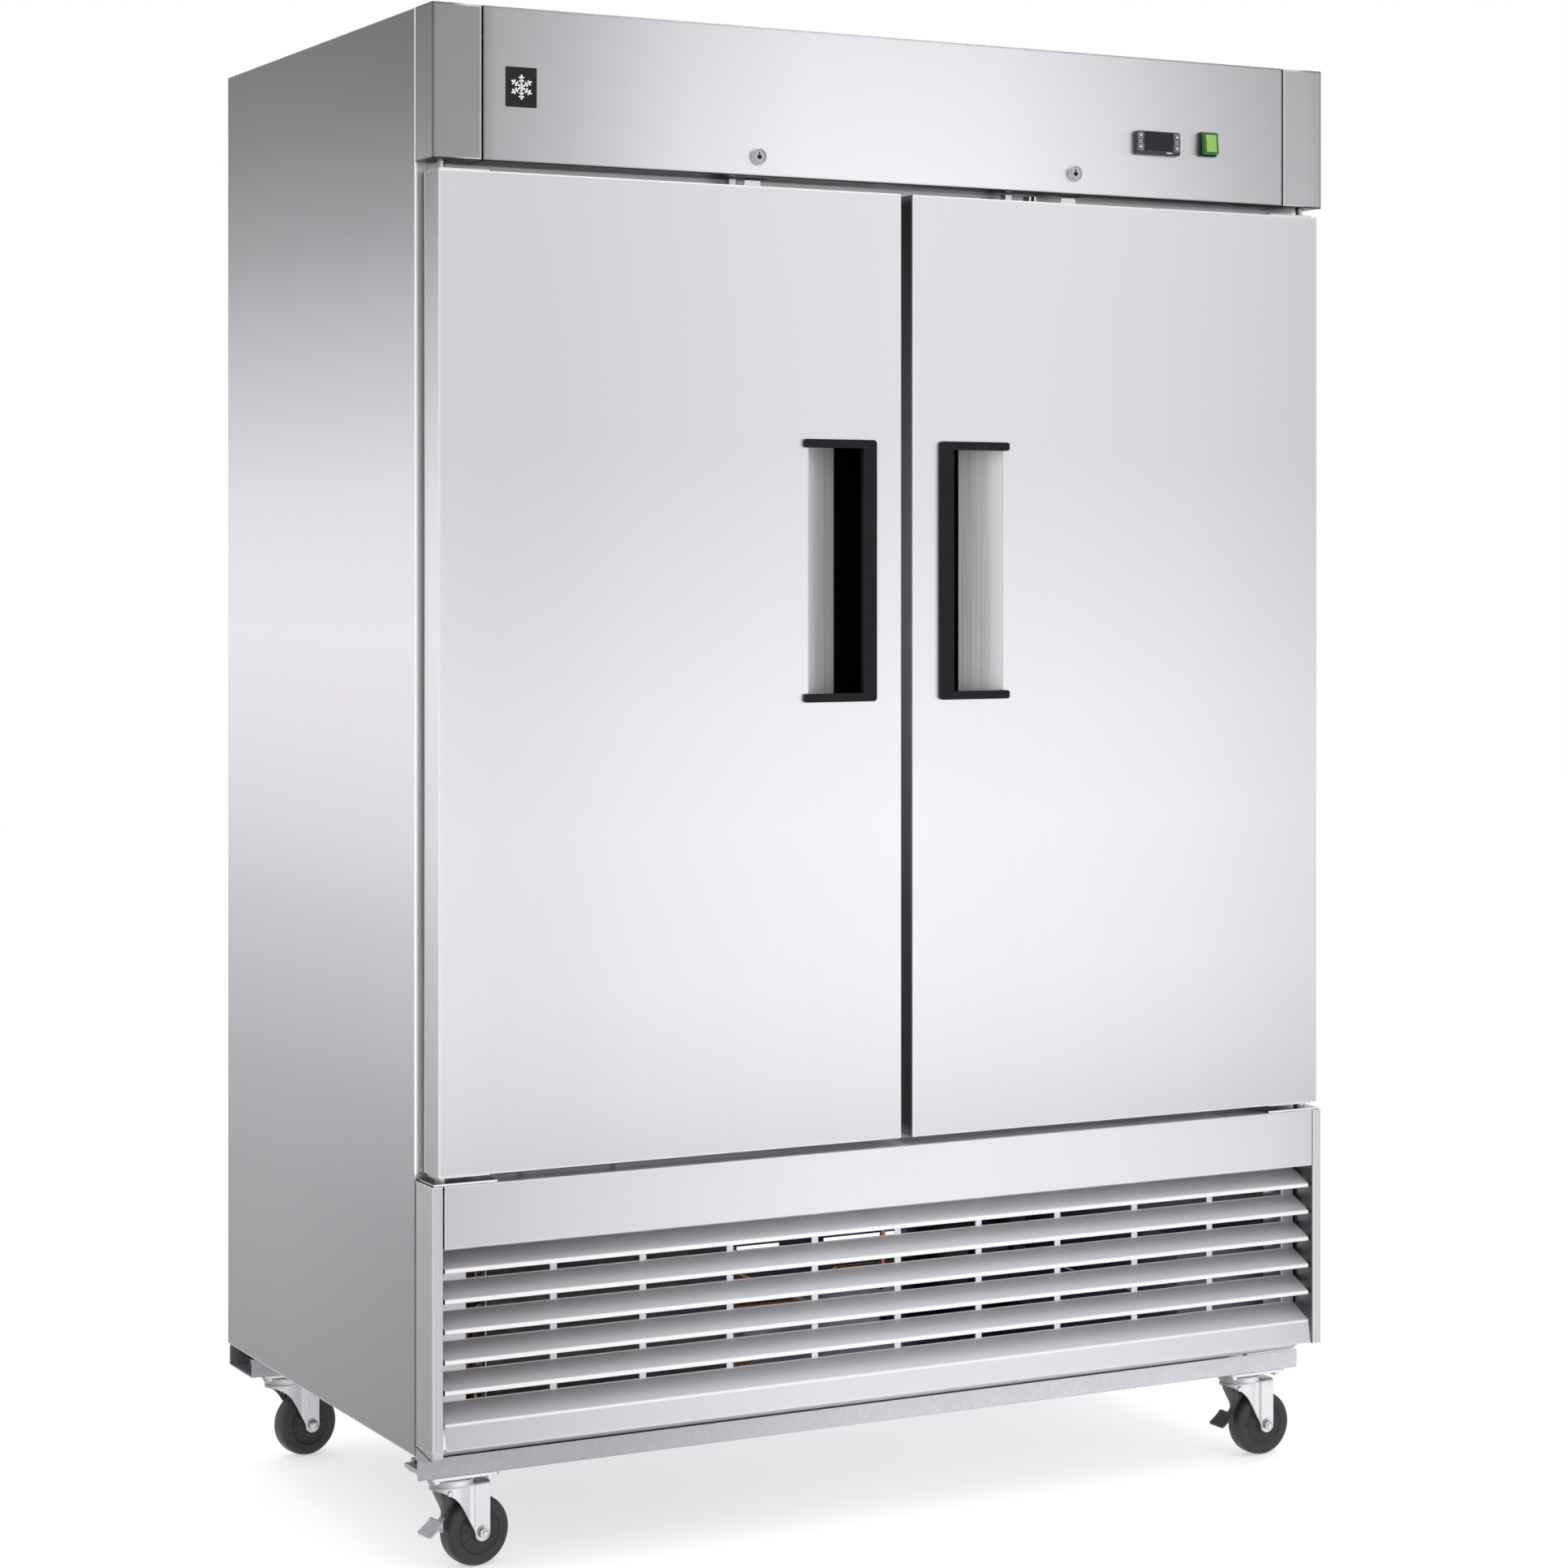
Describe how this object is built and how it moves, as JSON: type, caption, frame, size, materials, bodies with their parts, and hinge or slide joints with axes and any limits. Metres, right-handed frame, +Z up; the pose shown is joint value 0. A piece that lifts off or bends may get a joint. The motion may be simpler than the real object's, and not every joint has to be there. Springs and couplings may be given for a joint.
{
  "type": "reach in refrigerator",
  "caption": "Upright stainless cabinet with side-by-side hinged doors, recessed pulls, louvred lower grille, header controls and swivel casters with brakes.",
  "frame": {"origin": "on the floor under the middle of the cabinet", "axes": "+Z up; the doors face -Y; +X is to the right of someone who faces the doors"},
  "size_m": [1.383, 0.8087, 2.007],
  "materials": {
    "stainless_door": "satin",
    "stainless_header": "satin",
    "stainless_side": "satin",
    "stainless_grille": "satin",
    "stainless_frame": "satin",
    "stainless_recess": "satin",
    "stainless_liner": "satin",
    "galvanised": "matte",
    "zinc_plate": "gloss",
    "foam": "matte",
    "gasket_rubber": "matte",
    "wheel_rubber": "matte",
    "pedal_black": "satin",
    "handle_black": "matte",
    "badge_black": "gloss",
    "bezel_grey": "satin",
    "key_grey": "matte",
    "switch_black": "satin",
    "rocker_green": "gloss",
    "lock_chrome": "polished",
    "coil_aluminium": "matte",
    "fan_plastic": "matte",
    "motor_metal": "satin",
    "compressor_black": "satin",
    "copper": "satin",
    "pan_aluminium": "satin",
    "box_grey": "satin",
    "shelf_coating": "satin"
  },
  "bodies": {
    "cabinet": {"badge": "badge_black", "base_pan": "galvanised", "base_rails": "galvanised", "caster_plates": "zinc_plate", "compressor": "compressor_black", "condenser_coil": "coil_aluminium", "controller_housing": "bezel_grey", "drain_pan": "pan_aluminium", "electrical_box": "box_grey", "evaporator_coil": "coil_aluminium", "evaporator_cover": "stainless_liner", "face_frame": "stainless_frame", "fan_motors": "motor_metal", "fasteners": "zinc_plate", "grille_stiles": "stainless_grille", "header_panels": "stainless_header", "hinge_brackets": "zinc_plate", "inner_liner": "stainless_liner", "insulation": "foam", "louvre_panel": "stainless_grille", "rear_panel": "galvanised", "refrigerant_lines": "copper", "shelf_supports": "stainless_liner", "side_panels": "stainless_side", "switch_housing": "switch_black", "top_panel": "stainless_side", "wire_shelves": "shelf_coating"},
    "door_left": {"door_skin_left": "stainless_door", "door_foam_left": "foam", "door_inner_panel_left": "stainless_liner", "door_gasket_left": "gasket_rubber", "handle_frame_left": "handle_black", "handle_recess_left": "stainless_recess", "door_hardware_left": "zinc_plate"},
    "door_right": {"door_skin_right": "stainless_door", "door_foam_right": "foam", "door_inner_panel_right": "stainless_liner", "door_gasket_right": "gasket_rubber", "handle_frame_right": "handle_black", "handle_recess_right": "stainless_recess", "door_hardware_right": "zinc_plate"},
    "lock_left_barrel": {"lock_left": "lock_chrome"},
    "lock_right_barrel": {"lock_right": "lock_chrome"},
    "power_rocker": {"rocker": "rocker_green"},
    "key_lower_left_cap": {"key_lower_left": "key_grey"},
    "key_lower_right_cap": {"key_lower_right": "key_grey"},
    "key_upper_left_cap": {"key_upper_left": "key_grey"},
    "key_upper_right_cap": {"key_upper_right": "key_grey"},
    "condenser_fan_rotor": {"condenser_fan": "fan_plastic"},
    "evaporator_fan_rotor": {"evaporator_fan": "fan_plastic"},
    "swivel_front_left": {"caster_fork_front_left": "zinc_plate"},
    "wheel_front_left": {"caster_wheel_front_left": "wheel_rubber"},
    "pedal_front_left": {"brake_pedal_front_left": "pedal_black"},
    "swivel_front_right": {"caster_fork_front_right": "zinc_plate"},
    "wheel_front_right": {"caster_wheel_front_right": "wheel_rubber"},
    "pedal_front_right": {"brake_pedal_front_right": "pedal_black"},
    "swivel_rear_left": {"caster_fork_rear_left": "zinc_plate"},
    "wheel_rear_left": {"caster_wheel_rear_left": "wheel_rubber"},
    "swivel_rear_right": {"caster_fork_rear_right": "zinc_plate"},
    "wheel_rear_right": {"caster_wheel_rear_right": "wheel_rubber"}
  },
  "joints": [
    {"name": "door_left_hinge", "type": "hinge", "parent": "cabinet", "child": "door_left", "pos_m": [-0.665, -0.366, 1.16], "axis": [0, 0, 1], "range_deg": [-110, 0], "stiffness_Nm_per_rad": 1.5, "springref_deg": 17.19},
    {"name": "door_right_hinge", "type": "hinge", "parent": "cabinet", "child": "door_right", "pos_m": [0.665, -0.366, 1.16], "axis": [0, 0, 1], "range_deg": [0, 110], "stiffness_Nm_per_rad": 1.5, "springref_deg": -17.19},
    {"name": "lock_left_turn", "type": "hinge", "parent": "cabinet", "child": "lock_left_barrel", "pos_m": [-0.226, -0.38, 1.836], "axis": [0, 1, 0], "range_deg": [0, 90]},
    {"name": "lock_right_turn", "type": "hinge", "parent": "cabinet", "child": "lock_right_barrel", "pos_m": [0.266, -0.38, 1.839], "axis": [0, 1, 0], "range_deg": [0, 90]},
    {"name": "rocker_tilt", "type": "hinge", "parent": "cabinet", "child": "power_rocker", "pos_m": [0.4872, -0.3945, 1.8908], "axis": [1, 0, 0], "range_deg": [0, 10]},
    {"name": "key_lower_left_press", "type": "slide", "parent": "cabinet", "child": "key_lower_left_cap", "axis": [0, 1, 0], "range_m": [0, 0.0005], "stiffness_N_per_m": 400},
    {"name": "key_lower_right_press", "type": "slide", "parent": "cabinet", "child": "key_lower_right_cap", "axis": [0, 1, 0], "range_m": [0, 0.0005], "stiffness_N_per_m": 400},
    {"name": "key_upper_left_press", "type": "slide", "parent": "cabinet", "child": "key_upper_left_cap", "axis": [0, 1, 0], "range_m": [0, 0.0005], "stiffness_N_per_m": 400},
    {"name": "key_upper_right_press", "type": "slide", "parent": "cabinet", "child": "key_upper_right_cap", "axis": [0, 1, 0], "range_m": [0, 0.0005], "stiffness_N_per_m": 400},
    {"name": "condenser_fan_spin", "type": "hinge", "parent": "cabinet", "child": "condenser_fan_rotor", "pos_m": [-0.38, -0.172, 0.316], "axis": [0, 1, 0], "continuous": true},
    {"name": "evaporator_fan_spin", "type": "hinge", "parent": "cabinet", "child": "evaporator_fan_rotor", "pos_m": [0, -0.174, 1.868], "axis": [0, 1, 0], "continuous": true},
    {"name": "swivel_front_left_turn", "type": "hinge", "parent": "cabinet", "child": "swivel_front_left", "pos_m": [-0.617, -0.285, 0.115], "axis": [0, 0, 1], "continuous": true},
    {"name": "wheel_front_left_roll", "type": "hinge", "parent": "swivel_front_left", "child": "wheel_front_left", "pos_m": [-0.58333, -0.28027, 0.046], "axis": [-0.1392, 0.9903, 0], "continuous": true},
    {"name": "pedal_front_left_press", "type": "hinge", "parent": "swivel_front_left", "child": "pedal_front_left", "pos_m": [-0.63086, -0.28695, 0.103], "axis": [0.1392, -0.9903, 0], "range_deg": [0, 8], "stiffness_Nm_per_rad": 1},
    {"name": "swivel_front_right_turn", "type": "hinge", "parent": "cabinet", "child": "swivel_front_right", "pos_m": [0.617, -0.285, 0.115], "axis": [0, 0, 1], "continuous": true},
    {"name": "wheel_front_right_roll", "type": "hinge", "parent": "swivel_front_right", "child": "wheel_front_right", "pos_m": [0.65099, -0.28441, 0.046], "axis": [-0.0175, 0.9998, 0], "continuous": true},
    {"name": "pedal_front_right_press", "type": "hinge", "parent": "swivel_front_right", "child": "pedal_front_right", "pos_m": [0.603, -0.28524, 0.103], "axis": [0.0175, -0.9998, 0], "range_deg": [0, 8], "stiffness_Nm_per_rad": 1},
    {"name": "swivel_rear_left_turn", "type": "hinge", "parent": "cabinet", "child": "swivel_rear_left", "pos_m": [-0.617, 0.353, 0.115], "axis": [0, 0, 1], "continuous": true},
    {"name": "wheel_rear_left_roll", "type": "hinge", "parent": "swivel_rear_left", "child": "wheel_rear_left", "pos_m": [-0.58352, 0.3589, 0.046], "axis": [-0.1736, 0.9848, 0], "continuous": true},
    {"name": "swivel_rear_right_turn", "type": "hinge", "parent": "cabinet", "child": "swivel_rear_right", "pos_m": [0.617, 0.353, 0.115], "axis": [0, 0, 1], "continuous": true},
    {"name": "wheel_rear_right_roll", "type": "hinge", "parent": "swivel_rear_right", "child": "wheel_rear_right", "pos_m": [0.65092, 0.35537, 0.046], "axis": [-0.0698, 0.9976, 0], "continuous": true}
  ]
}
